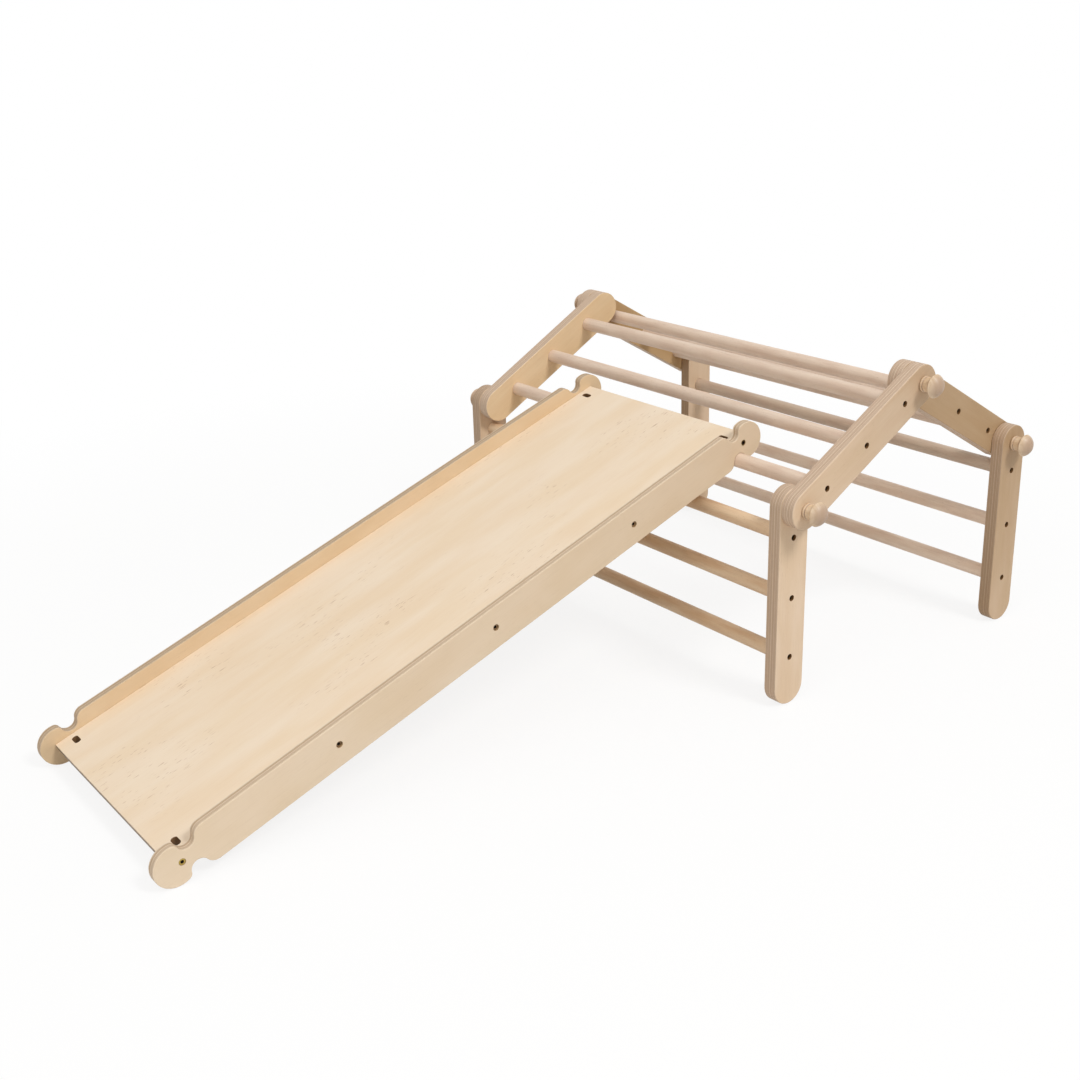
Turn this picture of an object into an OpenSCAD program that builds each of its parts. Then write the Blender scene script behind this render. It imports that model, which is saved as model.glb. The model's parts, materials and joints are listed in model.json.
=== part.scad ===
// Toddler climbing frame: four hinged ladders set up as a small house, and a ramp hooked on a rung.
// X runs up the ramp and on through the frame, Y runs along the rungs, Z is up, the floor is Z = 0.

/* [Ladders] */
// Distance between the hinge centres of a roof ladder, and from hinge to foot centre of a leg ladder
hinge_span = 312; // [280:1:400]
// Width of a ladder rail, whose ends are half rounds of this width
rail_w = 64; // [52:1:76]
// Thickness of the plywood of a ladder rail
rail_t = 25; // [22:1:30]
// Slope of the two roof ladders in degrees
roof_slope = 30; // [20:1:40]
// Gap between the rails of two neighbouring ladders at a hinge
hinge_gap = 0.4; // [0.2:0.1:1]

/* [Rungs] */
// Diameter of a rung
rung_d = 25; // [20:1:30]
// Length of a rung that shows between its two rails
rung_clear = 794; // [600:1:1000]
// Room between a rung and the round rail end of the neighbouring ladder
rung_room = 7.5; // [2:0.5:12]
// Depth of the socket that holds a rung's end
socket_depth = 10; // [6:1:12]
// Gap all round between a rung and its socket
socket_clear = 0.05; // [0.02:0.01:0.1]

/* [Screws] */
// Diameter of a screw head
head_d = 9.6; // [7:0.1:11]
// Height of a screw head
head_h = 4; // [3:0.5:5]
// Gap all round between a screw head and its counterbore
head_clear = 0.2; // [0.1:0.05:0.5]
// Diameter of a screw shank
shank_d = 5; // [4:0.1:6]
// Gap all round between a screw shank and its hole
shank_clear = 0.05; // [0.02:0.01:0.1]
// Width over the corners of the six-sided key hole in a screw head
key_w = 5.6; // [3:0.1:6.5]
// Depth of the key hole in a screw head
key_depth = 2.4; // [1.5:0.1:2.8]
// Depth of a rung screw's head below the face of the rail
rung_head_sink = 4; // [1:0.5:5]
// Length of a rung screw inside the rung
rung_screw_reach = 28; // [15:1:40]
// Free depth of a pilot hole past the screw's end
pilot_room = 1; // [0.5:0.5:3]

/* [Hinges] */
// Diameter of the stud that a hinge turns on
stud_d = 8; // [6:0.5:10]
// Gap all round between a stud and its hole in the outer rail
stud_clear = 0.1; // [0.05:0.01:0.1]
// Gap all round between a stud and the bore of its insert
thread_clear = 0.05; // [0.02:0.01:0.1]
// Outer diameter of a threaded insert
insert_d = 12; // [11.5:0.5:14]
// Length of a threaded insert
insert_len = 15; // [10:1:18]
// Gap all round between an insert and its pocket
insert_clear = 0.05; // [0.02:0.01:0.1]
// Part of an insert that the stud doesn't reach
stud_short = 2; // [1:0.5:4]

/* [Knobs] */
// Diameter of a knob's head at its rim
knob_d = 40; // [34:0.5:48]
// Length of a knob from its foot to the tip of its head
knob_len = 36; // [32:0.5:44]
// Distance from a knob's foot to the rim of its head
rim_at = 22.5; // [20:0.5:26]
// Distance from a knob's foot to the end of its neck, where the head starts to flare
neck_end = 15.5; // [12:0.5:18]
// Diameter of a knob's neck
neck_d = 25.5; // [24.5:0.5:28]
// Diameter of the collar, a round bead at a knob's foot
collar_d = 27; // [26:0.5:32]
// Height of the collar
collar_h = 5.4; // [4:0.1:7]
// Diameter of the groove between a knob's collar and its neck
groove_d = 23; // [22:0.5:24]
// Width of the groove
groove_w = 1.2; // [0.5:0.1:2]
// Depth of the stud's hole in a knob
knob_socket = 22; // [15:1:26]
// Gap between a knob's foot and the rail
knob_gap = 0.2; // [0.1:0.05:0.4]

/* [Ramp] */
// Length of the ramp over its round ends
ramp_length = 1168; // [1000:1:1400]
// Height of a ramp side rail
ramp_rail_h = 65; // [62:1:80]
// Thickness of the plywood of a ramp side rail
ramp_rail_t = 15; // [12:1:20]
// Radius of the round ends of a ramp side rail
lobe_r = 31; // [28:0.5:34]
// Width of the deck between the side rails
deck_w = 406; // [300:1:500]
// Thickness of the deck
deck_t = 15; // [12:1:18]
// How far the deck runs past the centres of the round ends
deck_overhang = 6; // [0:0.5:15]
// Share of the free rung length that lies on the near side of the ramp
ramp_side_share = 0.47; // [0:0.005:1]

/* [Ramp notches] */
// Gap all round between a notch and the rung that it hooks on
notch_clear = 0.5; // [0.2:0.1:1]
// Wood between a face of the deck and the floor of a notch
notch_web = 4.9; // [3:0.1:7]
// How far a notch bites into the circle of the round end
notch_bite = 7.3; // [5:0.1:9]
// Radius that rounds the tip between a notch and the round end
tip_r = 9; // [7:0.5:11]
// Radius of the shoulder between a notch and the straight edge
shoulder_r = 16; // [12:0.5:20]

/* [Ramp details] */
// Distance of an end screw from the centre of its round end
end_screw_inset = 10; // [8:0.5:11]
// Distance between neighbouring middle screws
middle_screw_pitch = 288; // [200:1:320]
// Number of middle screws in a side rail
middle_screw_count = 3; // [2:1:3]
// Depth of an end screw's head below the face of the side rail
end_head_sink = 0.8; // [0.3:0.1:3]
// Depth of a middle screw's head below the face of the side rail
middle_head_sink = 3; // [1:0.5:5]
// Length of a ramp screw inside the deck
ramp_screw_reach = 34; // [20:1:45]
// Length of a strap slot across the deck
slot_len = 20; // [14:0.5:28]
// Width of a strap slot
slot_w = 9.5; // [6:0.1:11]
// Distance of a strap slot's middle from the centre of the round end
slot_inset = 21; // [19:0.5:28]
// Distance of a strap slot's middle from the side rail
slot_side = 21.5; // [16:0.5:30]

/* [Hidden] */
$fn = 96;
overrun = 1;
arc_overlap = 0.02;
rung_count = 3;
leg_turn = 90;
key_sides = 6;
ply_color = "BurlyWood";
ramp_color = "Wheat";
rung_color = "Tan";
knob_color = "NavajoWhite";
steel_color = "DimGray";
brass_color = "Goldenrod";

rail_r = rail_w / 2;
rung_r = rung_d / 2;
head_r = head_d / 2;
shank_r = shank_d / 2;
stud_r = stud_d / 2;
lobe_span = ramp_length - 2 * lobe_r;
dome_rise = knob_len - rim_at;
dome_r = ((knob_d / 2) ^ 2 + dome_rise ^ 2) / (2 * dome_rise);

first_rung = rail_r + rung_r + rung_room;
rung_pitch = (hinge_span - 2 * first_rung) / (rung_count - 1);
rung_places = [for (i = [0 : rung_count - 1]) first_rung + i * rung_pitch];

ladder_w = 2 * rail_t + rung_clear;
layer_step = rail_t + hinge_gap;
frame_w = ladder_w + layer_step;

leg_height = hinge_span + rail_r;
front_hinge = [0, leg_height];
ridge_hinge = front_hinge + hinge_span * [cos(roof_slope), sin(roof_slope)];
back_hinge = [2 * ridge_hinge[0], leg_height];

notch_r = rung_r + notch_clear;
notch_z = deck_t / 2 + notch_web + notch_r;
notch_reach = lobe_r + notch_r - notch_bite;
notch_x = sqrt(notch_reach ^ 2 - notch_z ^ 2);
notch_at = [notch_x, notch_z];
tip_reach = lobe_r - tip_r + arc_overlap;
tip_gap = notch_r + tip_r - arc_overlap;
tip_cosine = (tip_reach ^ 2 + notch_reach ^ 2 - tip_gap ^ 2) / (2 * tip_reach * notch_reach);
tip_angle = atan2(notch_z, notch_x) + acos(tip_cosine);
tip_at = tip_reach * [cos(tip_angle), sin(tip_angle)];
shoulder_z = ramp_rail_h / 2 - shoulder_r;
shoulder_gap = notch_r + shoulder_r - arc_overlap;
shoulder_x = notch_x + sqrt(shoulder_gap ^ 2 - (shoulder_z - notch_z) ^ 2);
shoulder_at = [shoulder_x, shoulder_z];

hook_rung = front_hinge + first_rung * [cos(roof_slope), sin(roof_slope)];
hook_run = lobe_span - notch_x;
hook_rise = hook_rung[1] - lobe_r;
ramp_turn = asin(hook_rise / norm([hook_run, notch_z])) + atan2(notch_z, hook_run);
ramp_foot_x = hook_rung[0] - hook_run * cos(ramp_turn) - notch_z * sin(ramp_turn);
ramp_w = deck_w + 2 * ramp_rail_t;
ramp_y = rail_t + ramp_side_share * (rung_clear - ramp_w);

mid_x = (ramp_foot_x - lobe_r + back_hinge[0] + rail_r) / 2;
mid_y = frame_w / 2;

end_places = [end_screw_inset, lobe_span - end_screw_inset];
middle_row = (middle_screw_count - 1) * middle_screw_pitch;
middle_places = [for (i = [0 : middle_screw_count - 1]) (lobe_span - middle_row) / 2 + i * middle_screw_pitch];

// Each ladder is a hinge point, a turn from level and a layer, which is 0 or one rail further in.
front_leg = [front_hinge, leg_turn, 1];
front_roof = [front_hinge, -roof_slope, 0];
back_roof = [ridge_hinge, roof_slope, 1];
back_leg = [back_hinge, leg_turn, 0];

// A flat board of the children's outline, with its outer face at Y = 0
module board(thickness) {
    translate([0, thickness, 0]) rotate([90, 0, 0]) linear_extrude(thickness) children();
}

// A round bar along Y
module bar(r, from, to) {
    translate([0, to, 0]) rotate([90, 0, 0]) cylinder(r = r, h = to - from);
}

// The children as seen from the far side of something this wide
module far_side(width) {
    translate([0, width, 0]) mirror([0, 1, 0]) children();
}

// The children on both sides of something this wide
module both_sides(width) {
    children();
    far_side(width) children();
}

// Screw with its head's face at Y = 0 and its shank along Y
module screw(shank_len) {
    difference() {
        union() {
            bar(head_r, 0, head_h);
            bar(shank_r, head_h, head_h + shank_len);
        }
        rotate([-90, 0, 0]) translate([0, 0, -overrun])
            cylinder(d = key_w, h = key_depth + overrun, $fn = key_sides);
    }
}

// Hole for a screw in a board whose outer face is Y = 0
module screw_hole(head_sink, thickness) {
    bar(head_r + head_clear, -overrun, head_sink + head_h);
    bar(shank_r + shank_clear, head_sink, thickness + overrun);
}

module at_ladder(ladder) {
    translate([ladder[0][0] - mid_x, ladder[2] * layer_step - mid_y, ladder[0][1]])
        rotate([0, ladder[1], 0]) children();
}

// Hole at a hinge of a ladder rail: "stud" goes right through, "insert" is a pocket, "none" leaves the foot plain
module hinge_hole(kind) {
    if (kind == "stud") bar(stud_r + stud_clear, -overrun, rail_t + overrun);
    if (kind == "insert") bar(insert_d / 2 + insert_clear, -overrun, insert_len);
}

module rail(start_hole, end_hole) {
    difference() {
        board(rail_t) {
            circle(rail_r);
            translate([hinge_span, 0]) circle(rail_r);
            translate([0, -rail_r]) square([hinge_span, rail_w]);
        }
        for (place = rung_places) translate([place, 0, 0]) {
            screw_hole(rung_head_sink, rail_t);
            bar(rung_r + socket_clear, rail_t - socket_depth, rail_t + overrun);
        }
        hinge_hole(start_hole);
        translate([hinge_span, 0, 0]) hinge_hole(end_hole);
    }
}

module near_rail(ladder, start_hole, end_hole) {
    color(ply_color) at_ladder(ladder) rail(start_hole, end_hole);
}

module far_rail(ladder, start_hole, end_hole) {
    color(ply_color) at_ladder(ladder) far_side(ladder_w) rail(start_hole, end_hole);
}

// Rung with a pilot hole in each end
module rung(ladder, index) {
    seat = rail_t - socket_depth;
    color(rung_color) at_ladder(ladder) translate([rung_places[index], 0, 0]) difference() {
        bar(rung_r, seat, ladder_w - seat);
        both_sides(ladder_w) bar(shank_r + shank_clear, seat - overrun, seat + rung_screw_reach + pilot_room);
    }
}

module rung_screws(ladder) {
    web = rail_t - socket_depth - rung_head_sink - head_h;
    color(steel_color) at_ladder(ladder) both_sides(ladder_w) for (place = rung_places)
        translate([place, rung_head_sink, 0]) screw(web + rung_screw_reach);
}

// Threaded insert with its mouth at Y = 0
module insert() {
    difference() {
        bar(insert_d / 2, 0, insert_len);
        bar(stud_r + thread_clear, -overrun, insert_len + overrun);
    }
}

module near_inserts(ladder, places) {
    color(brass_color) at_ladder(ladder) for (place = places) translate([place, 0, 0]) insert();
}

module far_inserts(ladder, places) {
    color(brass_color) at_ladder(ladder) far_side(ladder_w) for (place = places) translate([place, 0, 0]) insert();
}

module at_hinge(hinge) {
    translate([hinge[0] - mid_x, -mid_y, hinge[1]]) children();
}

// Half outline of a knob's head: a flare from the neck to the rim, and a low dome
module knob_head() {
    polygon([[0, neck_end], [neck_d / 2, neck_end], [knob_d / 2, rim_at], [0, rim_at]]);
    intersection() {
        translate([0, knob_len - dome_r]) circle(dome_r);
        translate([0, rim_at]) square([knob_d, knob_len]);
    }
}

// Turned knob whose foot stands on the rail's outer face and whose head points along -Y
module knob() {
    neck_from = collar_h + groove_w;
    color(knob_color) translate([0, -knob_gap, 0]) rotate([90, 0, 0]) rotate_extrude() difference() {
        union() {
            square([groove_d / 2, neck_end]);
            translate([(collar_d - collar_h) / 2, collar_h / 2]) circle(d = collar_h - 2 * arc_overlap);
            translate([0, neck_from]) square([neck_d / 2, neck_end - neck_from]);
            knob_head();
        }
        translate([0, -overrun]) square([stud_r + thread_clear, knob_socket + overrun]);
    }
}

module stud() {
    color(steel_color) bar(stud_r, -knob_gap - knob_socket, layer_step + insert_len - stud_short);
}

module at_ramp() {
    translate([ramp_foot_x - mid_x, ramp_y - mid_y, lobe_r]) rotate([0, -ramp_turn, 0]) children();
}

// Round end of a ramp side rail as far as the tips of its two notches
module ramp_lobe() {
    wedge = 2 * lobe_r;
    tip_point = wedge * [cos(tip_angle), sin(tip_angle)];
    difference() {
        circle(lobe_r);
        polygon([[0, 0], tip_point, [wedge, wedge], [wedge, -wedge], [tip_point[0], -tip_point[1]]]);
    }
}

// Neck from inside a round end to past the shoulders, with its notches cut out
module ramp_neck() {
    corners = [2 * tip_at - notch_at, notch_at, shoulder_at, [2 * shoulder_x, shoulder_z]];
    lower = [for (at = corners) [at[0], -at[1]]];
    upper = [for (i = [len(corners) - 1 : -1 : 0]) corners[i]];
    difference() {
        polygon(concat(lower, upper));
        for (side = [-notch_z, notch_z]) translate([notch_x, side]) circle(notch_r);
    }
}

// Rounded tip and shoulder on either side of a notch
module ramp_rounds() {
    translate(tip_at) circle(tip_r);
    translate(shoulder_at) circle(shoulder_r);
}

module ramp_end() {
    ramp_lobe();
    ramp_neck();
    ramp_rounds();
    mirror([0, 1]) ramp_rounds();
}

module ramp_rail_outline() {
    union() {
        ramp_end();
        translate([lobe_span, 0]) mirror([1, 0]) ramp_end();
        translate([shoulder_x, -ramp_rail_h / 2]) square([lobe_span - 2 * shoulder_x, ramp_rail_h]);
    }
}

module ramp_rail() {
    difference() {
        board(ramp_rail_t) ramp_rail_outline();
        for (place = end_places) translate([place, 0, 0]) screw_hole(end_head_sink, ramp_rail_t);
        for (place = middle_places) translate([place, 0, 0]) screw_hole(middle_head_sink, ramp_rail_t);
    }
}

module strap_slot() {
    slot_run = slot_len - slot_w;
    for (side = [-slot_run / 2, slot_run / 2]) translate([0, side]) circle(d = slot_w);
    square([slot_w, slot_run], center = true);
}

module ramp_screws(places, head_sink) {
    web = ramp_rail_t - head_sink - head_h;
    at_ramp() both_sides(ramp_w) for (place = places)
        translate([place, head_sink, 0]) screw(web + ramp_screw_reach);
}

module front_leg_near_rail() near_rail(front_leg, "insert", "none");
module front_leg_far_rail() far_rail(front_leg, "stud", "none");
module front_leg_top_rung() rung(front_leg, 0);
module front_leg_middle_rung() rung(front_leg, 1);
module front_leg_bottom_rung() rung(front_leg, 2);
module front_leg_rung_screws() rung_screws(front_leg);
module front_leg_insert() near_inserts(front_leg, [0]);

module front_roof_near_rail() near_rail(front_roof, "stud", "stud");
module front_roof_far_rail() far_rail(front_roof, "insert", "insert");
module front_roof_bottom_rung() rung(front_roof, 0);
module front_roof_middle_rung() rung(front_roof, 1);
module front_roof_top_rung() rung(front_roof, 2);
module front_roof_rung_screws() rung_screws(front_roof);
module front_roof_inserts() far_inserts(front_roof, [0, hinge_span]);

module back_roof_near_rail() near_rail(back_roof, "insert", "insert");
module back_roof_far_rail() far_rail(back_roof, "stud", "stud");
module back_roof_top_rung() rung(back_roof, 0);
module back_roof_middle_rung() rung(back_roof, 1);
module back_roof_bottom_rung() rung(back_roof, 2);
module back_roof_rung_screws() rung_screws(back_roof);
module back_roof_inserts() near_inserts(back_roof, [0, hinge_span]);

module back_leg_near_rail() near_rail(back_leg, "stud", "none");
module back_leg_far_rail() far_rail(back_leg, "insert", "none");
module back_leg_top_rung() rung(back_leg, 0);
module back_leg_middle_rung() rung(back_leg, 1);
module back_leg_bottom_rung() rung(back_leg, 2);
module back_leg_rung_screws() rung_screws(back_leg);
module back_leg_insert() far_inserts(back_leg, [0]);

module front_near_knob() at_hinge(front_hinge) knob();
module ridge_near_knob() at_hinge(ridge_hinge) knob();
module back_near_knob() at_hinge(back_hinge) knob();
module front_far_knob() at_hinge(front_hinge) far_side(frame_w) knob();
module ridge_far_knob() at_hinge(ridge_hinge) far_side(frame_w) knob();
module back_far_knob() at_hinge(back_hinge) far_side(frame_w) knob();

module front_near_stud() at_hinge(front_hinge) stud();
module ridge_near_stud() at_hinge(ridge_hinge) stud();
module back_near_stud() at_hinge(back_hinge) stud();
module front_far_stud() at_hinge(front_hinge) far_side(frame_w) stud();
module ridge_far_stud() at_hinge(ridge_hinge) far_side(frame_w) stud();
module back_far_stud() at_hinge(back_hinge) far_side(frame_w) stud();

module ramp_near_rail() color(ramp_color) at_ramp() ramp_rail();
module ramp_far_rail() color(ramp_color) at_ramp() far_side(ramp_w) ramp_rail();

module ramp_deck() {
    deck_len = lobe_span + 2 * deck_overhang;
    color(ramp_color) at_ramp() translate([0, ramp_rail_t, -deck_t / 2]) difference() {
        linear_extrude(deck_t) difference() {
            translate([-deck_overhang, 0]) square([deck_len, deck_w]);
            for (x = [slot_inset, lobe_span - slot_inset], y = [slot_side, deck_w - slot_side])
                translate([x, y]) strap_slot();
        }
        for (place = concat(end_places, middle_places)) translate([place, 0, deck_t / 2])
            both_sides(deck_w) bar(shank_r + shank_clear, -overrun, ramp_screw_reach + pilot_room);
    }
}

module ramp_end_screws() color(brass_color) ramp_screws(end_places, end_head_sink);
module ramp_middle_screws() color(steel_color) ramp_screws(middle_places, middle_head_sink);

front_leg_near_rail();
front_leg_far_rail();
front_leg_top_rung();
front_leg_middle_rung();
front_leg_bottom_rung();
front_leg_rung_screws();
front_leg_insert();
front_roof_near_rail();
front_roof_far_rail();
front_roof_bottom_rung();
front_roof_middle_rung();
front_roof_top_rung();
front_roof_rung_screws();
front_roof_inserts();
back_roof_near_rail();
back_roof_far_rail();
back_roof_top_rung();
back_roof_middle_rung();
back_roof_bottom_rung();
back_roof_rung_screws();
back_roof_inserts();
back_leg_near_rail();
back_leg_far_rail();
back_leg_top_rung();
back_leg_middle_rung();
back_leg_bottom_rung();
back_leg_rung_screws();
back_leg_insert();
front_near_knob();
ridge_near_knob();
back_near_knob();
front_far_knob();
ridge_far_knob();
back_far_knob();
front_near_stud();
ridge_near_stud();
back_near_stud();
front_far_stud();
ridge_far_stud();
back_far_stud();
ramp_near_rail();
ramp_far_rail();
ramp_deck();
ramp_end_screws();
ramp_middle_screws();
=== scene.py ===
import bpy
import bmesh
import json
import math
from mathutils import Matrix, Vector


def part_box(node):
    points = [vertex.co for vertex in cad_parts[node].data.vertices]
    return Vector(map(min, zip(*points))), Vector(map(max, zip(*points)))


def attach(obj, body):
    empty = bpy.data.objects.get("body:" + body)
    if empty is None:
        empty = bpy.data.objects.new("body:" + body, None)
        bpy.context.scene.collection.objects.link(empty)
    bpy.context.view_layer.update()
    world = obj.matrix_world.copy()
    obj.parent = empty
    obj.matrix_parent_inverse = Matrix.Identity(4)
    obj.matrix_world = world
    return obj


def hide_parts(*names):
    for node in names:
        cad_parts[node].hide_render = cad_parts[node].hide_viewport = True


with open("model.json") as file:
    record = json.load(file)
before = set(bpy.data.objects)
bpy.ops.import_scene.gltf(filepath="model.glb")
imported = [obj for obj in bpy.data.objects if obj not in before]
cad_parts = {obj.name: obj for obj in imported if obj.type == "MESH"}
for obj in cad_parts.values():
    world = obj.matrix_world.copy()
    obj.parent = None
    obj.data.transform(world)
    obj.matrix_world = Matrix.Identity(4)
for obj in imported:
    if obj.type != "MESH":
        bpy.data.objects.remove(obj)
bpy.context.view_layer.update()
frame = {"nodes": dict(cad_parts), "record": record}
cadNodes = frame["nodes"]
record = frame["record"]
scene = bpy.context.scene
mm = 0.001
bodyOf = {node: body for body, members in record["behaviour"]["bodies"].items() for node in members}


# small helpers

def hexToLinear(text):
    parts = [int(text[i:i + 2], 16) / 255 for i in (1, 3, 5)]
    linear = [p / 12.92 if p <= 0.04045 else ((p + 0.055) / 1.055) ** 2.4 for p in parts]
    return (*linear, 1)


def patternScale(*sizes):
    # sizes of one repeat in mm, for patterns drawn in metres
    return [1 / (size * mm) for size in sizes]


def addNode(tree, kind, inputs=None, out=0, **settings):
    node = tree.nodes.new(kind)
    for name, value in settings.items():
        setattr(node, name, value)
    for socket, value in (inputs or {}).items():
        if isinstance(value, bpy.types.NodeSocket):
            tree.links.new(value, node.inputs[socket])
        else:
            node.inputs[socket].default_value = value
    return node.outputs[out]


def newMaterial(name):
    material = bpy.data.materials.new(name)
    material.use_nodes = True
    tree = material.node_tree
    return material, tree, tree.nodes["Principled BSDF"]


def addPiece(name, bm, node, slot, *materials):
    # one finished piece that stands for a node and moves with its body
    mesh = bpy.data.meshes.new(name)
    bm.to_mesh(mesh)
    bm.free()
    mesh.shade_smooth()
    for material in materials:
        mesh.materials.append(material)
    piece = bpy.data.objects.new(name, mesh)
    scene.collection.objects.link(piece)
    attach(piece, bodyOf[node])
    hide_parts(node)
    return piece


def centreOf(node):
    low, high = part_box(node)
    return (low + high) / 2


# camera at the photograph's angle

photoView = {
    "spot": (-1.3174, -1.8158, 1.0856),   # m, in the frame's own axes
    "yaw": 39.80,                         # degrees from +Y towards +X
    "pitch": 19.78,                       # degrees down
    "roll": -0.56,
    "lens": 46.67,                        # mm on a 36 mm sensor
    "sensor": 36,
    "shift": (-0.0705, -0.0288),          # the photograph is a crop, its middle lies off the lens axis
}


def makeCamera():
    yaw, pitch, roll = (math.radians(photoView[k]) for k in ("yaw", "pitch", "roll"))
    forward = Vector((math.sin(yaw) * math.cos(pitch), math.cos(yaw) * math.cos(pitch), -math.sin(pitch)))
    level = forward.cross(Vector((0, 0, 1))).normalized()
    upright = level.cross(forward)
    right = math.cos(roll) * level + math.sin(roll) * upright
    up = math.cos(roll) * upright - math.sin(roll) * level
    data = bpy.data.cameras.new("photoCamera")
    data.lens = photoView["lens"]
    data.sensor_width = photoView["sensor"]
    data.shift_x, data.shift_y = photoView["shift"]
    camera = bpy.data.objects.new("photoCamera", data)
    turn = Matrix((right, up, -forward)).transposed().to_4x4()
    camera.matrix_world = Matrix.Translation(photoView["spot"]) @ turn
    scene.collection.objects.link(camera)
    scene.camera = camera


makeCamera()
print("camera set")


# materials

woodIor = 1.48          # oiled or lacquered wood
plainWhite = (1, 1, 1, 1)
plyFinish = {
    "swaySize": (90, 90, 9), "sawnSize": (6, 6, 0.7), "sawnShare": 0.6,   # mm, mm and a share
    "endGrainWeight": 1.6,   # how much an end-grain ply darkens, where chance gives each ply up to 1
    "veneerFade": 0.8,       # share of the veneer at which the face's own tone is reached
    "roughness": (0.5, 0.66), "bump": 0.2, "relief": 0.12,                # relief in mm
}


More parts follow.
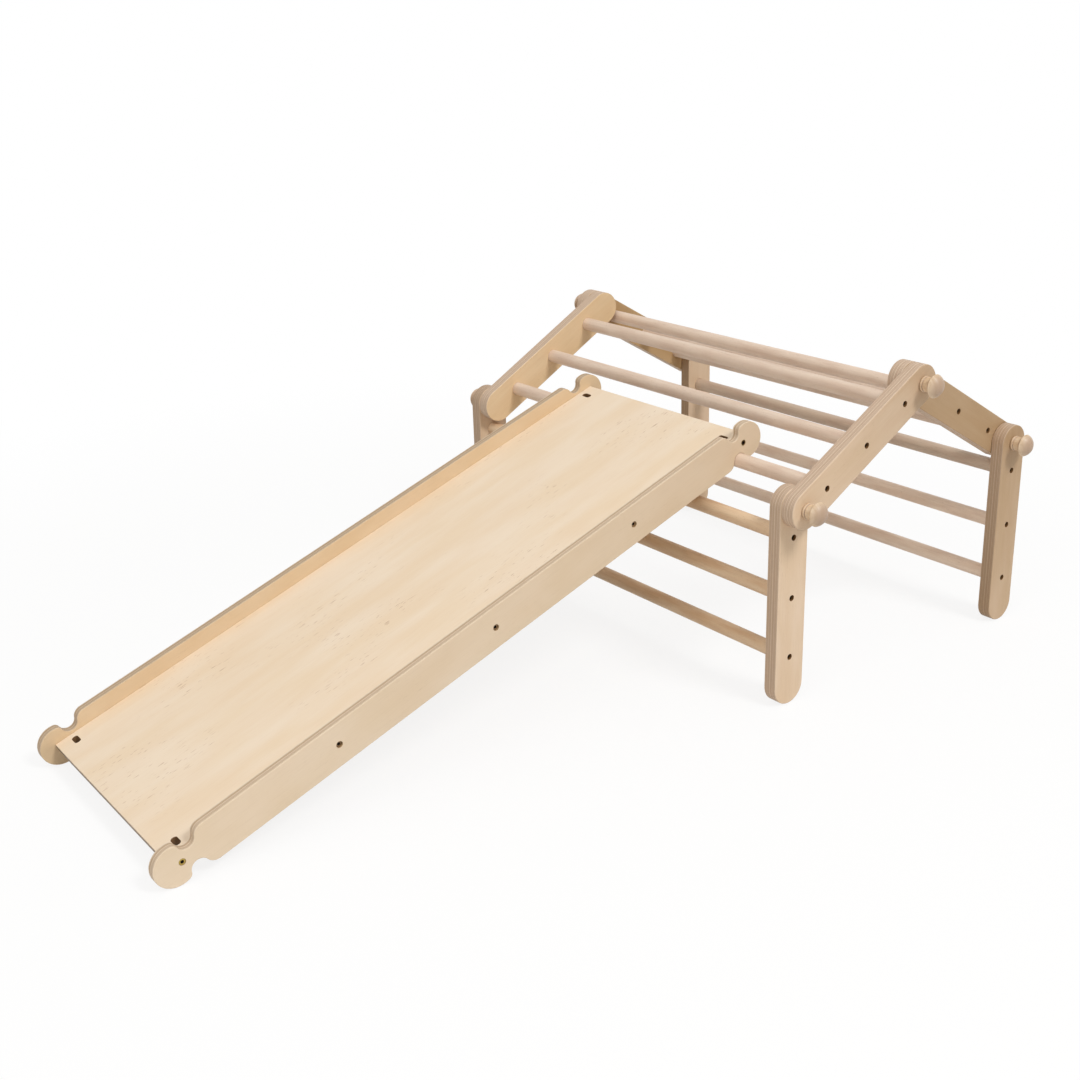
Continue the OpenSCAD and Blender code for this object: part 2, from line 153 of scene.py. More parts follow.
def birchPlywood(name, look):
    # Rotary-cut birch plywood, sanded and oiled: a pale even face with faint contour figure and scattered brown
    # flecks, and stacked light and dark plies on every cut edge. The boards carry "grain", which is along, across
    # and depth in m, "tone", which is how deep the honey colour is, partly that board's own colour and partly
    # painted shade, and "bore", which is 1 on the walls of drilled and routed holes, where the shade inside the
    # hole is painted in as a dark brown.
    material, tree, shader = newMaterial(name)
    grain = addNode(tree, "ShaderNodeAttribute", out="Vector", attribute_name="grain")
    tone = addNode(tree, "ShaderNodeAttribute", out="Fac", attribute_name="tone")
    bore = addNode(tree, "ShaderNodeAttribute", out="Fac", attribute_name="bore")
    depth = addNode(tree, "ShaderNodeSeparateXYZ", {0: grain}, 2)
    pale, warm, rosy, brown, honeyAndShade = (hexToLinear(look[k]) for k in ("pale", "warm", "rosy", "brown", "honeyAndShade"))

    # broad patches of the sheet
    spot = addNode(tree, "ShaderNodeMapping", {"Vector": grain, "Scale": patternScale(*look["patchSize"])})
    patches = addNode(tree, "ShaderNodeTexNoise", {"Vector": spot, "Scale": 1, "Detail": 3})
    share = addNode(tree, "ShaderNodeMapRange", {"Value": patches, "From Min": 0.3, "From Max": 0.7},
                    interpolation_type="SMOOTHSTEP")
    face = addNode(tree, "ShaderNodeMix", {0: share, 6: pale, 7: warm}, 2, data_type="RGBA")

    # contour figure: level lines of a slow noise, as the knife leaves them when it peels the log
    spot = addNode(tree, "ShaderNodeMapping", {"Vector": grain, "Scale": patternScale(*look["figureSize"])})
    slow = addNode(tree, "ShaderNodeTexNoise", {"Vector": spot, "Scale": 1, "Detail": 2, "Roughness": 0.45})
    rings = addNode(tree, "ShaderNodeMath", {0: slow, 1: look["figureRings"]}, operation="MULTIPLY")
    wave = addNode(tree, "ShaderNodeMath", {0: rings, 1: 1}, operation="PINGPONG")
    share = addNode(tree, "ShaderNodeMapRange", {"Value": wave, "From Min": 0.15, "To Max": look["figureShare"]},
                    interpolation_type="SMOOTHSTEP")
    face = addNode(tree, "ShaderNodeMix", {0: share, 6: face, 7: rosy}, 2, data_type="RGBA")

    # fine fibres along the grain
    spot = addNode(tree, "ShaderNodeMapping", {"Vector": grain, "Scale": patternScale(*look["fibreSize"])})
    fibres = addNode(tree, "ShaderNodeTexNoise", {"Vector": spot, "Scale": 1, "Detail": 4, "Roughness": 0.6})
    share = addNode(tree, "ShaderNodeMapRange",
                    {"Value": fibres, "From Min": 0.45, "From Max": 0.75, "To Max": look["fibreShare"]},
                    interpolation_type="SMOOTHSTEP")
    face = addNode(tree, "ShaderNodeMix", {0: share, 6: face, 7: brown}, 2, data_type="RGBA")

    # short brown flecks that come in clusters
    spot = addNode(tree, "ShaderNodeMapping", {"Vector": grain, "Scale": patternScale(*look["fleckSize"])})
    dashes = addNode(tree, "ShaderNodeTexNoise", {"Vector": spot, "Scale": 1, "Detail": 1.5})
    dashMask = addNode(tree, "ShaderNodeMapRange", {"Value": dashes, "From Min": 0.64, "From Max": 0.72},
                       interpolation_type="SMOOTHSTEP")
    spot = addNode(tree, "ShaderNodeMapping", {"Vector": grain, "Scale": patternScale(*look["clusterSize"])})
    clusters = addNode(tree, "ShaderNodeTexNoise", {"Vector": spot, "Scale": 1, "Detail": 1})
    share = addNode(tree, "ShaderNodeMapRange",
                    {"Value": clusters, "From Min": 0.47, "From Max": 0.64, "To Max": look["fleckShare"]},
                    interpolation_type="SMOOTHSTEP")
    flecks = addNode(tree, "ShaderNodeMath", {0: dashMask, 1: share}, operation="MULTIPLY")
    face = addNode(tree, "ShaderNodeMix", {0: flecks, 6: face, 7: brown}, 2, data_type="RGBA")

    # cut edge: plies that wander a little, every second one end grain, with a thin dark glue line between them
    spot = addNode(tree, "ShaderNodeMapping", {"Vector": grain, "Scale": patternScale(*plyFinish["swaySize"])})
    sway = addNode(tree, "ShaderNodeTexNoise", {"Vector": spot, "Scale": 1, "Detail": 2})
    level = addNode(tree, "ShaderNodeMath", {0: depth, 1: look["plyThickness"] * mm}, operation="DIVIDE")
    reach = look["plySway"]
    shift = addNode(tree, "ShaderNodeMapRange", {"Value": sway, "To Min": -reach, "To Max": reach})
    swayed = addNode(tree, "ShaderNodeMath", {0: level, 1: shift}, operation="ADD")
    index = addNode(tree, "ShaderNodeMath", {0: swayed}, operation="FLOOR")
    within = addNode(tree, "ShaderNodeMath", {0: swayed}, operation="FRACT")
    endGrain = addNode(tree, "ShaderNodeMath", {0: index, 1: 2}, operation="MODULO")
    variety = addNode(tree, "ShaderNodeTexWhiteNoise", {"W": index}, noise_dimensions="1D")
    weight = plyFinish["endGrainWeight"]
    toneMix = addNode(tree, "ShaderNodeMath", {0: endGrain, 1: weight, 2: variety}, operation="MULTIPLY_ADD")
    light, deep, glue = (hexToLinear(look[k]) for k in ("edgeLight", "edgeDeep", "edgeGlue"))
    share = addNode(tree, "ShaderNodeMapRange", {"Value": toneMix, "From Min": 0, "From Max": weight + 1})
    edge = addNode(tree, "ShaderNodeMix", {0: share, 6: light, 7: deep}, 2, data_type="RGBA")
    spot = addNode(tree, "ShaderNodeMapping", {"Vector": grain, "Scale": patternScale(*plyFinish["sawnSize"])})
    sawn = addNode(tree, "ShaderNodeTexNoise", {"Vector": spot, "Scale": 1, "Detail": 3})
    share = addNode(tree, "ShaderNodeMapRange",
                    {"Value": sawn, "From Min": 0.45, "From Max": 0.8, "To Max": plyFinish["sawnShare"]})
    edge = addNode(tree, "ShaderNodeMix", {0: share, 6: edge, 7: deep}, 2, data_type="RGBA")
    share = addNode(tree, "ShaderNodeMapRange",
                    {"Value": within, "From Min": look["glueWidth"], "From Max": 0, "To Max": look["glueShare"]},
                    interpolation_type="SMOOTHSTEP")
    edge = addNode(tree, "ShaderNodeMix", {0: share, 6: edge, 7: glue}, 2, data_type="RGBA")

    # the outer veneers keep the face's own tone, so a sanded corner shows as a bright line
    half, skin = look["plies"] / 2, look["veneer"]
    offMiddle = addNode(tree, "ShaderNodeMath", {0: level, 1: half}, operation="SUBTRACT")
    fromMiddle = addNode(tree, "ShaderNodeMath", {0: offMiddle}, operation="ABSOLUTE")
    veneer = addNode(tree, "ShaderNodeMapRange", {
        "Value": fromMiddle, "From Min": half - skin, "From Max": half - plyFinish["veneerFade"] * skin})
    colour = addNode(tree, "ShaderNodeMix", {0: veneer, 6: edge, 7: face}, 2, data_type="RGBA")
    # the board's tone: partly its own honey colour and partly painted shade
    colour = addNode(tree, "ShaderNodeMix", {0: tone, 6: colour, 7: honeyAndShade}, 2,
                     data_type="RGBA", blend_type="MULTIPLY")
    # painted shade: the walls of drilled and routed holes are coloured dark, as the shade inside them
    holeShade = hexToLinear(look["holeShade"])
    colour = addNode(tree, "ShaderNodeMix", {0: bore, 6: colour, 7: holeShade}, 2, data_type="RGBA")
    tree.links.new(colour, shader.inputs["Base Color"])

    low, high = plyFinish["roughness"]
    rough = addNode(tree, "ShaderNodeMapRange", {"Value": fibres, "To Min": low, "To Max": high})
    tree.links.new(rough, shader.inputs["Roughness"])
    relief = addNode(tree, "ShaderNodeMath", {0: dashMask, 1: -1, 2: fibres}, operation="MULTIPLY_ADD")
    bump = addNode(tree, "ShaderNodeBump", {
        "Height": relief, "Strength": plyFinish["bump"], "Distance": plyFinish["relief"] * mm})
    tree.links.new(bump, shader.inputs["Normal"])
    shader.inputs["IOR"].default_value = woodIor
    return material


# relief in mm; endTo is how far a face leans to the axis when it is all end grain
beechFinish = {"endTo": 0.95, "endShare": 0.85, "bump": 0.2, "relief": 0.1}


def turnedBeech(name, look):
    # Steamed beech, turned and oiled: rosy beige, straight fine grain along the piece, short dark ray flecks, and a
    # greyer tone where the turning meets the end grain.
    material, tree, shader = newMaterial(name)
    place = addNode(tree, "ShaderNodeTexCoord", out="Object")
    pale, rosy, brown, endTone = (hexToLinear(look[k]) for k in ("pale", "rosy", "brown", "endGrain"))
    spot = addNode(tree, "ShaderNodeMapping", {"Vector": place, "Scale": patternScale(*look["bandSize"])})
    bands = addNode(tree, "ShaderNodeTexNoise", {"Vector": spot, "Scale": 1, "Detail": 3})
    share = addNode(tree, "ShaderNodeMapRange", {"Value": bands, "From Min": 0.35, "From Max": 0.68},
                    interpolation_type="SMOOTHSTEP")
    colour = addNode(tree, "ShaderNodeMix", {0: share, 6: pale, 7: rosy}, 2, data_type="RGBA")
    spot = addNode(tree, "ShaderNodeMapping", {"Vector": place, "Scale": patternScale(*look["fibreSize"])})
    fibres = addNode(tree, "ShaderNodeTexNoise", {"Vector": spot, "Scale": 1, "Detail": 3, "Roughness": 0.6})
    share = addNode(tree, "ShaderNodeMapRange",
                    {"Value": fibres, "From Min": 0.45, "From Max": 0.8, "To Max": look["fibreShare"]},
                    interpolation_type="SMOOTHSTEP")
    colour = addNode(tree, "ShaderNodeMix", {0: share, 6: colour, 7: brown}, 2, data_type="RGBA")
    spot = addNode(tree, "ShaderNodeMapping", {"Vector": place, "Scale": patternScale(*look["fleckSize"])})
    flecks = addNode(tree, "ShaderNodeTexNoise", {"Vector": spot, "Scale": 1, "Detail": 1})
    share = addNode(tree, "ShaderNodeMapRange",
                    {"Value": flecks, "From Min": 0.64, "From Max": 0.74, "To Max": look["fleckShare"]},
                    interpolation_type="SMOOTHSTEP")
    colour = addNode(tree, "ShaderNodeMix", {0: share, 6: colour, 7: brown}, 2, data_type="RGBA")
    facing = addNode(tree, "ShaderNodeTexCoord", out="Normal")
    onAxis = addNode(tree, "ShaderNodeSeparateXYZ", {0: facing}, 1)
    toEnd = addNode(tree, "ShaderNodeMath", {0: onAxis}, operation="ABSOLUTE")
    share = addNode(tree, "ShaderNodeMapRange", {
        "Value": toEnd, "From Min": look["endFrom"], "From Max": beechFinish["endTo"],
        "To Max": beechFinish["endShare"]}, interpolation_type="SMOOTHSTEP")
    colour = addNode(tree, "ShaderNodeMix", {0: share, 6: colour, 7: endTone}, 2, data_type="RGBA")
    tree.links.new(colour, shader.inputs["Base Color"])
    low, high = look["roughness"]
    rough = addNode(tree, "ShaderNodeMapRange", {"Value": fibres, "To Min": low, "To Max": high})
    tree.links.new(rough, shader.inputs["Roughness"])
    bump = addNode(tree, "ShaderNodeBump", {
        "Height": fibres, "Strength": beechFinish["bump"], "Distance": beechFinish["relief"] * mm})
    tree.links.new(bump, shader.inputs["Normal"])
    shader.inputs["IOR"].default_value = woodIor
    return material


def workedMetal(name, look):
    # Machined metal under its finish: a tight grit from tumbling, a little cloudy in its gloss. The grit is drawn
    # coarser than the real one, which is too fine to show.
    material, tree, shader = newMaterial(name)
    place = addNode(tree, "ShaderNodeTexCoord", out="Object")
    spot = addNode(tree, "ShaderNodeMapping", {"Vector": place, "Scale": patternScale(*[look["gritSize"]] * 3)})
    grit = addNode(tree, "ShaderNodeTexNoise", {"Vector": spot, "Scale": 1, "Detail": 2})
    bright, dull = hexToLinear(look["bright"]), hexToLinear(look["dull"])
    colour = addNode(tree, "ShaderNodeMix", {0: grit, 6: bright, 7: dull}, 2, data_type="RGBA")
    tree.links.new(colour, shader.inputs["Base Color"])
    low, high = look["roughness"]
    rough = addNode(tree, "ShaderNodeMapRange", {"Value": grit, "To Min": low, "To Max": high})
    tree.links.new(rough, shader.inputs["Roughness"])
    shader.inputs["Metallic"].default_value = look["metallic"]
    return material


# sizes in mm along, across and through the sheet, but plySway, veneer and glueWidth in plies; fibres are drawn
# coarser than real ones, so that they show
ladderLook = {
    "pale": "#ebd3ba", "warm": "#e2c7a8", "rosy": "#debfa0", "brown": "#ab8761", "honeyAndShade": "#c8bba6",
    "edgeLight": "#dfc9b1", "edgeDeep": "#c9ab91", "edgeGlue": "#92755f", "holeShade": "#7d5a33",
    "patchSize": (200, 50, 400), "figureSize": (300, 40, 400), "figureRings": 8, "figureShare": 0.22,
    "fibreSize": (60, 1.8, 40), "fibreShare": 0.1,
    "fleckSize": (12, 1.1, 20), "clusterSize": (160, 50, 400), "fleckShare": 0.3,
    "plyThickness": 2.78, "plies": 9, "plySway": 0.12, "veneer": 0.26, "glueWidth": 0.4, "glueShare": 0.7,
}
ladderPly = birchPlywood("birch plywood 25 mm, sanded", ladderLook)
yellowPly = birchPlywood("birch plywood 25 mm, yellower sheet, sanded", {
    **ladderLook, "pale": "#ebcfa9", "warm": "#e3c398", "rosy": "#dfba8d", "brown": "#a87f52"})
rampLook = {
    "pale": "#f0dcc3", "warm": "#ebd5b8", "rosy": "#e9cdae", "brown": "#a9845f", "honeyAndShade": "#c8bba6",
    "edgeLight": "#e8d6bd", "edgeDeep": "#bd9f80", "edgeGlue": "#86694d", "holeShade": "#b39670",
    "patchSize": (150, 70, 400), "figureSize": (240, 90, 400), "figureRings": 5, "figureShare": 0.16,
    "fibreSize": (50, 2.2, 40), "fibreShare": 0.06,
    "fleckSize": (12, 1.3, 20), "clusterSize": (160, 60, 400), "fleckShare": 0.15,
    "plyThickness": 3, "plies": 5, "plySway": 0.1, "veneer": 0.2, "glueWidth": 0.3, "glueShare": 0.6,
}
rampPly = birchPlywood("birch plywood 15 mm, sanded", rampLook)
yellowRampPly = birchPlywood("birch plywood 15 mm, yellower sheet, sanded", {
    **rampLook, "pale": "#f1dabb", "warm": "#ecd2ae", "rosy": "#eac9a2"})
# the deck's dark honey colour is painted shade, laid on its cut end and slot walls through its edge tone
deckPly = birchPlywood("birch plywood 15 mm, flecked veneer, sanded", {
    **rampLook, "pale": "#f1dec6", "warm": "#edd6b8", "brown": "#b58c66", "honeyAndShade": "#755f48", "holeShade": "#7c5d3d",
    "patchSize": (200, 45, 400), "figureShare": 0.15,
    "fleckSize": (20, 2.3, 20), "clusterSize": (170, 110, 400), "fleckShare": 0.75})
# sizes in mm on the frame's own axes, the grain along Y as the rungs and knobs lie
rungLook = {
    "pale": "#e8d2be", "rosy": "#ddc3ae", "brown": "#b08f77", "endGrain": "#c4a993",
    "bandSize": (14, 90, 14), "fibreSize": (1.6, 60, 1.6), "fibreShare": 0.25,
    "fleckSize": (1.1, 6, 1.1), "fleckShare": 0.3, "roughness": (0.42, 0.6), "endFrom": 0.2,
}
rungBeech = turnedBeech("beech dowel, oiled", rungLook)
# yellower dowels: painted warm bounce light from the ramp
warmLitRungBeech = turnedBeech("beech dowel, yellower for painted warm bounce light, oiled", {
    **rungLook, "pale": "#e6caa9", "rosy": "#dbb893", "brown": "#a9825f"})
paleRungBeech = turnedBeech("beech dowel, paler, oiled", {
    **rungLook, "pale": "#f3ddc8", "rosy": "#e8cdb6", "brown": "#ba9880"})
darkRungBeech = turnedBeech("beech dowel, darker, oiled", {
    **rungLook, "pale": "#d0bba6", "rosy": "#c6ac97", "brown": "#9c7f69"})
knobBeech = turnedBeech("beech knob, lacquered", {
    "pale": "#e3cbae", "rosy": "#d3b694", "brown": "#a58363", "endGrain": "#b0947e",
    "bandSize": (5, 60, 22), "fibreSize": (1.2, 26, 1.2), "fibreShare": 0.3,
    "fleckSize": (1, 5, 1), "fleckShare": 0.25, "roughness": (0.36, 0.5), "endFrom": 0.36,
})
brownedSteel = workedMetal("steel, browned", {   # dark warm brown, dull under its oxide skin
    "bright": "#5c3f20", "dull": "#3f2a13", "gritSize": 0.7, "roughness": (0.5, 0.7), "metallic": 0.8})
bronzedSteel = workedMetal("steel, bronze plated", {   # a soft brown shine with no sharp glint
    "bright": "#b89a76", "dull": "#8a6f58", "gritSize": 0.8, "roughness": (0.35, 0.5), "metallic": 0.8})
keyHoleShade = workedMetal("key hole, painted shade", {   # nearly black and dull: painted shade inside the key hole
    "bright": "#241910", "dull": "#130d08", "gritSize": 0.7, "roughness": (0.6, 0.8), "metallic": 0.6})
brass = workedMetal("brass, tumbled", {   # yellow, a satin shine from tumbling
    "bright": "#cbb066", "dull": "#a58a45", "gritSize": 0.9, "roughness": (0.3, 0.45), "metallic": 1})
zincSteel = workedMetal("steel, zinc plated", {   # bluish grey and cloudy
    "bright": "#c3c4c6", "dull": "#8e9093", "gritSize": 0.9, "roughness": (0.3, 0.5), "metallic": 1})
print("materials made")


# plywood boards: the solid's own outline with its long edges sanded round

boardStyle = {
    # mm; "boreReach" is how far from the board's middle line its holes lie
    "ladderRail": {"edgeRound": 1.6, "steps": 4, "holeRound": 0.4, "boreReach": 6,
                   "material": ladderPly, "slot": "rail_plywood"},
    "rampRail": {"edgeRound": 0.9, "steps": 3, "holeRound": 0.4, "boreReach": 6,
                 "material": rampPly, "slot": "ramp_plywood"},
    "rampDeck": {"edgeRound": 0.8, "steps": 2, "holeRound": 0.5, "boreReach": 195,
                 "material": deckPly, "slot": "ramp_plywood"},
    "boreFromEnd": 5,      # mm, no hole lies closer to the end of a board
    "sharpAngle": 50,      # degrees, what counts as an edge
    "outlineLength": 120,  # mm, edge loops longer than this belong to the outline
    "pieceStep": 0.73,     # m, shifts the grain from one board to the next
    "rampSheet": 9, "deckSheet": 12,   # how many such steps the ramp's boards are from the first one
    # how deep the honey colour is, from 0 to 1, at the low and the high end of a board: its faces, then its edges.
    # On the faces it is partly the board's own colour and partly painted shade, such as a board darker towards one
    # end; on the back legs' edges and on the deck's cut end and slot walls it is painted shade.
    "faceTonesAndShade": {"front_roof_near_rail": (0.04, 0.68), "front_roof_far_rail": (0, 0.2),
                  "back_roof_near_rail": (1, 1), "back_roof_far_rail": (0.8, 1), "back_leg_near_rail": (0.5, 1),
                  "back_leg_far_rail": (0.3, 0.35), "front_leg_far_rail": (0.2, 0.2),
                  "ramp_near_rail": (0.03, 0.38), "ramp_far_rail": (0.38, 0.35)},
    "edgeTonesAndShade": {"front_leg_near_rail": (0.15, 0.15), "front_leg_far_rail": (0.5, 0.5),
                  "back_leg_near_rail": (0.9, 0.35), "back_leg_far_rail": (1, 1), "ramp_far_rail": (0.42, 0.42),
                  "ramp_deck": (0.7, 0.7)},
    "otherSheets": {"front_roof_far_rail": yellowPly, "back_roof_far_rail": yellowPly,
                    "ramp_far_rail": yellowRampPly},
    "weldReach": 0.002, "flatAngle": 0.3,   # mm and degrees, for joining up a solid's own triangles
}


def cleanSolid(node):
    # one welded copy of the solid, flat faces joined up
    source = cadNodes[node].data
    bm = bmesh.new()
    points = [bm.verts.new(v.co) for v in source.vertices]
    for polygon in source.polygons:
        bm.faces.new([points[i] for i in polygon.vertices])
    bmesh.ops.remove_doubles(bm, verts=bm.verts[:], dist=boardStyle["weldReach"] * mm)
    flat = math.radians(boardStyle["flatAngle"])
    bmesh.ops.dissolve_limit(bm, angle_limit=flat, verts=bm.verts[:], edges=bm.edges[:])
    return bm


def edgeLoops(bm):
    # sharp edges grouped by the corners that they share
    angle = math.radians(boardStyle["sharpAngle"])
    sharp = [e for e in bm.edges if len(e.link_faces) == 2 and e.calc_face_angle(0) > angle]
    waiting = set(sharp)
    loops = []
    for first in sharp:
        if first not in waiting:
            continue
        waiting.discard(first)
        loop, queue = [], [first]
        while queue:
            edge = queue.pop()
            loop.append(edge)
            for vert in edge.verts:
                for other in vert.link_edges:
                    if other in waiting:
                        waiting.discard(other)
                        queue.append(other)
        loops.append(loop)
    return loops


def sandEdges(bm, style):
    outline, holes = [], []
    for loop in edgeLoops(bm):
        length = sum(e.calc_length() for e in loop)
        (outline if length > boardStyle["outlineLength"] * mm else holes).extend(loop)
    if holes:
        bmesh.ops.bevel(bm, geom=holes, offset=style["holeRound"] * mm, segments=1, affect="EDGES")
    outline = [e for e in outline if e.is_valid]
    bmesh.ops.bevel(bm, geom=outline, offset=style["edgeRound"] * mm, segments=style["steps"], profile=0.5,
                    affect="EDGES", clamp_overlap=True)


def makeBoard(node, style, origin, along, across, inward, step):
    # a sanded board that carries its grain, its tone and its hole walls for the plywood, which paints shade through
    # the tone and onto the hole walls
    bm = cleanSolid(node)
    sandEdges(bm, style)
    sheet = boardStyle["otherSheets"].get(node, style["material"])
    piece = addPiece(node + "_board", bm, node, style["slot"], sheet)
    offsets = [vert.co - origin for vert in piece.data.vertices]
    lengths, heights, depths = ([offset.dot(way) for offset in offsets] for way in (along, across, inward))

    shift = step * boardStyle["pieceStep"]
    grain = piece.data.attributes.new("grain", "FLOAT_VECTOR", "POINT")
    for value, length, height, depth in zip(grain.data, lengths, heights, depths):
        value.vector = (length + shift, height + shift, depth)

    lowEnd, highEnd, back = min(lengths), max(lengths), max(depths)
    # tone graded from end to end: partly the board's own colour, partly painted shade
    tone = piece.data.attributes.new("tone", "FLOAT", "POINT")
    for value, length, depth in zip(tone.data, lengths, depths):
        onFace = min(depth, back - depth) < style["edgeRound"] * mm / 2
        low, high = boardStyle["faceTonesAndShade" if onFace else "edgeTonesAndShade"].get(node, (0, 0))
        value.value = low + (high - low) * (length - lowEnd) / (highEnd - lowEnd)

    # bore marks the hole walls, which the plywood paints dark as the shade inside the holes
    middle = (min(heights) + max(heights)) / 2
    endKeep = boardStyle["boreFromEnd"] * mm
    bore = piece.data.attributes.new("bore", "FLOAT", "POINT")
    for value, length, height, depth in zip(bore.data, lengths, heights, depths):
        offEnds = lowEnd + endKeep < length < highEnd - endKeep
        onLine = abs(height - middle) < style["boreReach"] * mm
        inDepth = min(depth, back - depth) > style["holeRound"] * mm / 2
        value.value = offEnds and onLine and inDepth

    weighted = piece.modifiers.new("flat faces stay flat", "WEIGHTED_NORMAL")
    weighted.keep_sharp = False


ladders = ["front_leg", "front_roof", "back_roof", "back_leg"]
thickness = Vector((0, 1, 0))
for number, ladder in enumerate(ladders):
    along = (centreOf(ladder + "_top_rung") - centreOf(ladder + "_bottom_rung")).normalized()
    across = along.cross(thickness)
    for index, side in enumerate(("near", "far")):
        node = f"{ladder}_{side}_rail"
        makeBoard(node, boardStyle["ladderRail"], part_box(node)[0], along, across, thickness, 2 * number + index)
print("ladder rails sanded")

deckTop = next(m for m in record["mounts"] if m["name"] == "deck_top")
deckUp = Vector(deckTop["axis"]).normalized()
rampAlong = thickness.cross(deckUp)
for index, side in enumerate(("near", "far")):
    node = f"ramp_{side}_rail"
    step = boardStyle["rampSheet"] + index
    makeBoard(node, boardStyle["rampRail"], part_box(node)[0], rampAlong, deckUp, thickness, step)
makeBoard("ramp_deck", boardStyle["rampDeck"], Vector(deckTop["pos_m"]), rampAlong, thickness, -deckUp,
          boardStyle["deckSheet"])
print("ramp boards sanded")


# turned knobs: a bead, a groove, a waisted neck, a flare to the rim and a low dome

knobTurning = {
    "rounds": 72,
    "foot": 11.5, "beadMiddle": 10.8, "bead": 2.68, "beadAt": 2.7,       # mm
    "grooveEnd": 6.6, "neck": 12.75, "waist": 0.4, "neckEnd": 15.5,
    "rim": 20, "rimAt": 22.5, "cove": 1.1, "rimRound": 0.9, "tip": 36,
    "grooveCorner": 0.1, "neckCorner": 0.3,
    "rimTurn": ((0.35, -0.15), (0.1, 0.25)),   # shares of rimRound, in from the rim and up from it
    "steps": 12,
    "sharpFrom": 40,   # degrees
}


def knobProfile(k):
    # radius and height pairs in mm, from the foot to the tip
    steps = k["steps"]
    reach = math.acos((k["foot"] - k["beadMiddle"]) / k["bead"])
    points = [(0, 0), (k["foot"], 0)]
    for i in range(steps + 1):
        turn = reach * (2 * i / steps - 1)
        points.append((k["beadMiddle"] + k["bead"] * math.cos(turn), k["beadAt"] + k["bead"] * math.sin(turn)))
    corner = k["grooveCorner"]
    points += [(k["foot"], k["grooveEnd"] - corner), (k["foot"] + corner, k["grooveEnd"]),
               (k["neck"] - k["neckCorner"], k["grooveEnd"])]
    for i in range(1, steps + 1):
        share = i / steps
        height = k["grooveEnd"] + (k["neckEnd"] - k["grooveEnd"]) * share
        points.append((k["neck"] - k["waist"] * math.sin(math.pi * share), height))
    for i in range(1, steps):
        share = i / steps
        points.append((k["neck"] + (k["rim"] - k["neck"]) * share - k["cove"] * math.sin(math.pi * share),
                       k["neckEnd"] + (k["rimAt"] - k["neckEnd"]) * share))
    rise = k["tip"] - k["rimAt"]
    domeRadius = (k["rim"] ** 2 + rise ** 2) / (2 * rise)
    start = math.asin(k["rim"] / domeRadius)
    for inShare, upShare in k["rimTurn"]:
        points.append((k["rim"] - inShare * k["rimRound"], k["rimAt"] + upShare * k["rimRound"]))
    for i in range(1, 2 * steps):
        turn = start * (1 - i / (2 * steps))
        points.append((domeRadius * math.sin(turn), k["tip"] - domeRadius + domeRadius * math.cos(turn)))
    points.append((0, k["tip"]))
    return points


def makeKnob(node, facing):
    low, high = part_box(node)
    middle = (low + high) / 2
    foot = Vector((middle.x, high.y if facing < 0 else low.y, middle.z))
    rounds = knobTurning["rounds"]
    bm = bmesh.new()
    rings = []
    for radius, height in knobProfile(knobTurning):
        count = rounds if radius else 1
        ring = []
        for i in range(count):
            turn = 2 * math.pi * i / rounds
            offset = Vector((radius * math.cos(turn), facing * height, radius * math.sin(turn)))
            ring.append(bm.verts.new(foot + mm * offset))
        rings.append(ring)
    for lower, upper in zip(rings, rings[1:]):
        for i in range(rounds):
            j = (i + 1) % rounds
            corners = [lower[i % len(lower)], lower[j % len(lower)], upper[j % len(upper)], upper[i % len(upper)]]
            bm.faces.new(list(dict.fromkeys(corners)))   # three corners at the foot and the tip
    bmesh.ops.recalc_face_normals(bm, faces=bm.faces[:])
    piece = addPiece(node + "_turned", bm, node, "knob_beech", knobBeech)
    piece.data.set_sharp_from_angle(angle=math.radians(knobTurning["sharpFrom"]))


for hinge in ("front", "ridge", "back"):
    makeKnob(f"{hinge}_near_knob", -1)
    makeKnob(f"{hinge}_far_knob", 1)
print("knobs turned")


# screws: the solids with a broken edge on the head and a key hole painted dark as its shade

screwStyle = {
    "headLeast": 3.4,     # mm, what lies further from the axis belongs to the head
    "keyReach": 3, "keyDepth": 2.6, "edgeBreak": 0.5,
    "sameLevel": 0.1,     # mm, what lies closer to the head's end belongs to it
    "sharpFrom": 35,      # degrees
    # metal of the low screws in a set, of the high ones, and the slot; the high end screws are the same brass
    # screws, drawn in dark browned steel as painted shade
    "kinds": {"rung_screws": (brownedSteel, brownedSteel, "dark_screw"),
              "middle_screws": (bronzedSteel, bronzedSteel, "dark_screw"),
              "end_screws": (brass, brownedSteel, "brass_screw")},
}


def islandsOf(bm):
    waiting = set(bm.verts)
    islands = []
    for first in bm.verts:
        if first not in waiting:
            continue
        waiting.discard(first)
        island, queue = [], [first]
        while queue:
            vert = queue.pop()
            island.append(vert)
            for edge in vert.link_edges:
                other = edge.other_vert(vert)
                if other in waiting:
                    waiting.discard(other)
                    queue.append(other)
        islands.append(island)
    return islands


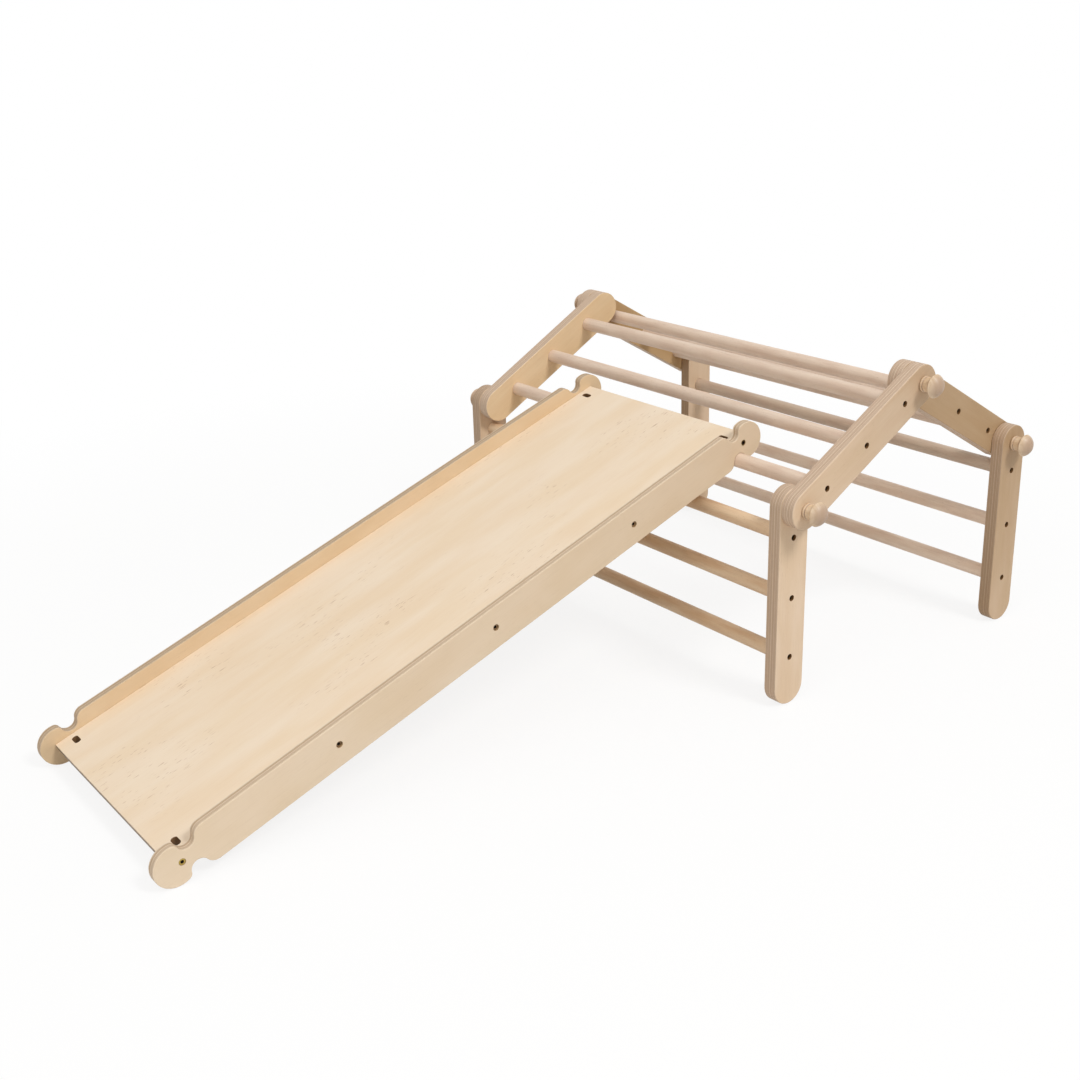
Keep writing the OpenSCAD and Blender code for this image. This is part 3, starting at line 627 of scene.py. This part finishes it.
def makeScrews(node, lowMetal, highMetalAndShade, slot):
    bm = cleanSolid(node)
    half = centreOf(node).z
    sameLevel, headLeast = screwStyle["sameLevel"] * mm, screwStyle["headLeast"]
    broken = []
    for island in islandsOf(bm):
        xs, ys, zs = zip(*(v.co for v in island))
        axis = Vector(((min(xs) + max(xs)) / 2, 0, (min(zs) + max(zs)) / 2))
        fromAxis = {v: (Vector((v.co.x, 0, v.co.z)) - axis).length / mm for v in island}
        heads = [v.co.y for v in island if fromAxis[v] > headLeast]
        headEnd = min(ys) if min(heads) < min(ys) + sameLevel else max(ys)
        for edge in {e for v in island for e in v.link_edges}:
            if all(fromAxis[v] > headLeast and abs(v.co.y - headEnd) < sameLevel for v in edge.verts):
                broken.append(edge)
        for face in {f for v in island for f in v.link_faces}:
            inKeyHole = all(fromAxis[v] < screwStyle["keyReach"]
                            and abs(v.co.y - headEnd) < screwStyle["keyDepth"] * mm for v in face.verts)
            # the high screws take the high metal, which for the end screws is painted shade
            face.material_index = 2 if inKeyHole else int(axis.z > half)
    broken = [e for e in broken if e.calc_face_angle(0) > math.radians(boardStyle["sharpAngle"])]
    bmesh.ops.bevel(bm, geom=broken, offset=screwStyle["edgeBreak"] * mm, segments=2, profile=0.5, affect="EDGES")
    piece = addPiece(node + "_set", bm, node, slot, lowMetal, highMetalAndShade, keyHoleShade)
    piece.data.set_sharp_from_angle(angle=math.radians(screwStyle["sharpFrom"]))


for node in cadNodes:
    for ending, finish in screwStyle["kinds"].items():
        if node.endswith(ending):
            makeScrews(node, *finish)
print("screws set")


# pieces that keep their solid and take a finish

def finishNode(node, material):
    mesh = cadNodes[node].data
    mesh.materials.clear()
    mesh.materials.append(material)


# dowels drawn in other tones than the rest: the back leg's darker and paler, and the front leg's yellower, where
# the yellow is painted warm light thrown back from the ramp above them
otherDowels = {"back_leg_top_rung": darkRungBeech, "back_leg_middle_rung": paleRungBeech,
               "back_leg_bottom_rung": paleRungBeech, "front_leg_top_rung": warmLitRungBeech,
               "front_leg_middle_rung": warmLitRungBeech, "front_leg_bottom_rung": warmLitRungBeech}
for node in cadNodes:
    if node.endswith("_rung"):
        finishNode(node, otherDowels.get(node, rungBeech))
    elif node.endswith(("_insert", "_inserts")):
        finishNode(node, brass)
    elif node.endswith("_stud"):
        finishNode(node, zincSteel)
print("rungs, inserts and studs finished")


# studio: a floor that is white to the eye and keeps the shadow, light from all round, and two large soft lamps

studio = {
    "floorSize": 40, "floorDrop": 0.6,                      # m, mm
    "floorBounce": "#dad8d4", "floorSeen": "#fbfaf9", "floorRough": 0.9,
    "whiteShare": (0.84, 1), "whiteFade": (0.7, 2.2),       # m from the middle of the set
    "worldTone": "#f8f7f4", "worldStrength": (0.33, 0.68),  # at the horizon and overhead
    "lampAim": (-0.1, 0, 0.25),
    "lamps": {
        "highLamp": {"towards": (0.155, -0.65, 0.74), "away": 9, "size": 2.4, "power": 360},
        "sideLamp": {"towards": (-0.81, -0.3, 0.51), "away": 7, "size": 4, "power": 106},
    },
}


def seenDirectly(tree):
    # 1 for rays that should meet plain white: the camera's own, and those that a mirror or glass passes on
    camera = addNode(tree, "ShaderNodeLightPath", out="Is Camera Ray")
    glossy = addNode(tree, "ShaderNodeLightPath", out="Is Glossy Ray")
    through = addNode(tree, "ShaderNodeLightPath", out="Is Transmission Ray")
    either = addNode(tree, "ShaderNodeMath", {0: camera, 1: glossy}, operation="MAXIMUM")
    return addNode(tree, "ShaderNodeMath", {0: either, 1: through}, operation="MAXIMUM")


def makeFloor():
    mesh = bpy.data.meshes.new("studioFloor")
    half = studio["floorSize"] / 2
    drop = -studio["floorDrop"] * mm
    corners = [(-half, -half, drop), (half, -half, drop), (half, half, drop), (-half, half, drop)]
    mesh.from_pydata(corners, [], [(0, 1, 2, 3)])
    material, tree, shader = newMaterial("studio floor, matt paper")
    seen = seenDirectly(tree)
    tint = addNode(tree, "ShaderNodeMix", {
        0: seen, 6: hexToLinear(studio["floorBounce"]), 7: hexToLinear(studio["floorSeen"])}, 2, data_type="RGBA")
    tree.links.new(tint, shader.inputs["Base Color"])
    shader.inputs["Roughness"].default_value = studio["floorRough"]
    shader.inputs["Specular IOR Level"].default_value = 0
    place = addNode(tree, "ShaderNodeTexCoord", out="Object")
    away = addNode(tree, "ShaderNodeVectorMath", {0: place}, "Value", operation="LENGTH")
    (nearShare, farShare), (fadeFrom, fadeTo) = studio["whiteShare"], studio["whiteFade"]
    fade = addNode(tree, "ShaderNodeMapRange", {
        "Value": away, "From Min": fadeFrom, "From Max": fadeTo, "To Min": nearShare, "To Max": farShare},
        interpolation_type="SMOOTHSTEP")
    share = addNode(tree, "ShaderNodeMath", {0: seen, 1: fade}, operation="MULTIPLY")
    white = addNode(tree, "ShaderNodeEmission", {"Color": plainWhite, "Strength": 1})
    mixed = addNode(tree, "ShaderNodeMixShader", {0: share, 1: shader.outputs[0], 2: white})
    tree.links.new(mixed, tree.nodes["Material Output"].inputs["Surface"])
    mesh.materials.append(material)
    floor = bpy.data.objects.new("studioFloor", mesh)
    scene.collection.objects.link(floor)


def makeWorld():
    world = bpy.data.worlds.new("studioWorld")
    world.use_nodes = True
    tree = world.node_tree
    tree.nodes.clear()
    direction = addNode(tree, "ShaderNodeTexCoord", out="Generated")
    height = addNode(tree, "ShaderNodeSeparateXYZ", {0: direction}, 2)
    low, high = studio["worldStrength"]
    strength = addNode(tree, "ShaderNodeMapRange", {"Value": height, "To Min": low, "To Max": high})
    soft = addNode(tree, "ShaderNodeBackground", {"Color": hexToLinear(studio["worldTone"]), "Strength": strength})
    white = addNode(tree, "ShaderNodeBackground", {"Color": plainWhite, "Strength": 1})
    mixed = addNode(tree, "ShaderNodeMixShader", {0: seenDirectly(tree), 1: soft, 2: white})
    output = tree.nodes.new("ShaderNodeOutputWorld")
    tree.links.new(mixed, output.inputs["Surface"])
    scene.world = world


def makeLamp(name, lamp):
    data = bpy.data.lights.new(name, "AREA")
    data.shape = "DISK"
    data.size = lamp["size"]
    data.energy = lamp["power"]
    towards = Vector(lamp["towards"]).normalized()
    holder = bpy.data.objects.new(name, data)
    holder.location = Vector(studio["lampAim"]) + lamp["away"] * towards
    holder.rotation_euler = (-towards).to_track_quat("-Z", "Y").to_euler()
    scene.collection.objects.link(holder)


makeFloor()
makeWorld()
for name, lamp in studio["lamps"].items():
    makeLamp(name, lamp)
scene.view_settings.view_transform = "Standard"
print("studio lit")
